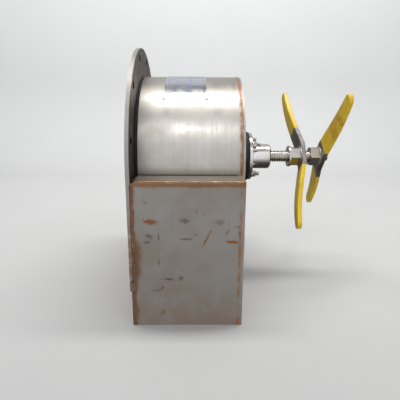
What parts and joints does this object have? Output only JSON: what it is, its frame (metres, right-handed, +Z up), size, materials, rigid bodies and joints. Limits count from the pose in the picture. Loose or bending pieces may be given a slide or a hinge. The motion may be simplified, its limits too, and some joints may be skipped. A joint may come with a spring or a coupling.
{
  "type": "disc discharge valve",
  "caption": "Screw-down disc discharge valve: round bolted inlet, half drum with a spindle-driven disc, open chute below and two lever handles.",
  "frame": {"origin": "centre of the bolt circle on the outer face of the mounting plate, where the spindle axis meets it", "axes": "+X along the spindle axis, out towards the levers; +Z up, away from the open chute; +Y to the rear"},
  "size_m": [0.402, 0.436, 0.4884],
  "materials": {
    "stainless_sheet": "satin, rust stained at the welds",
    "turned_steel": "bright turned",
    "fastener_steel": "dull bright",
    "black_rubber": "matt",
    "packing": "matt",
    "bronze": "machined",
    "plate_aluminium": "polished",
    "yellow_paint": "worn brush paint"
  },
  "bodies": {
    "housing": {"mounting_plate": "stainless_sheet", "seat_ring": "turned_steel", "joint_seal": "black_rubber", "drum_shell": "stainless_sheet", "end_plate": "stainless_sheet", "chute_front_wall": "stainless_sheet", "chute_rear_wall": "stainless_sheet", "chute_end_wall": "stainless_sheet", "chute_inlet_wall": "stainless_sheet", "front_shoulder": "stainless_sheet", "rear_shoulder": "stainless_sheet", "name_plate": "plate_aluminium", "name_plate_tacks": "fastener_steel", "gland_disc": "black_rubber", "packing_rings": "packing", "spindle_bushing": "turned_steel", "bushing_studs": "fastener_steel", "bushing_washers": "fastener_steel", "bushing_nuts": "fastener_steel"},
    "disc_carriage": {"valve_disc": "stainless_sheet", "disc_seal": "black_rubber", "seal_retainer": "turned_steel", "retainer_screws": "fastener_steel", "swivel_housing": "stainless_sheet", "swivel_cap": "stainless_sheet", "cap_screws": "fastener_steel", "thrust_washers": "bronze"},
    "spindle_set": {"spindle": "turned_steel", "hand_nut": "fastener_steel", "hand_lever": "yellow_paint", "end_washer": "fastener_steel", "end_screw": "fastener_steel"},
    "lock_washer_set": {"lock_washer": "fastener_steel"},
    "lock_nut_set": {"lock_nut": "fastener_steel", "lock_lever": "yellow_paint"}
  },
  "joints": [
    {"name": "disc_travel", "type": "slide", "parent": "housing", "child": "disc_carriage", "axis": [1, 0, 0], "range_m": [-0.03, 0.075]},
    {"name": "spindle_turn", "type": "hinge", "parent": "disc_carriage", "child": "spindle_set", "pos_m": [0.3, 0, 0], "axis": [1, 0, 0], "range_deg": [-2160, 5400]},
    {"name": "lock_travel", "type": "slide", "parent": "spindle_set", "child": "lock_washer_set", "axis": [1, 0, 0], "range_m": [-0.0095, 0.009]},
    {"name": "lock_turn", "type": "hinge", "parent": "lock_washer_set", "child": "lock_nut_set", "pos_m": [0.33, 0, 0], "axis": [1, 0, 0], "range_deg": [-684, 648]}
  ],
  "couplings": [
    {"joint": "disc_travel", "follows": "spindle_turn", "m_per_rad": 0.00079577},
    {"joint": "lock_travel", "follows": "lock_turn", "m_per_rad": 0.00079577}
  ]
}
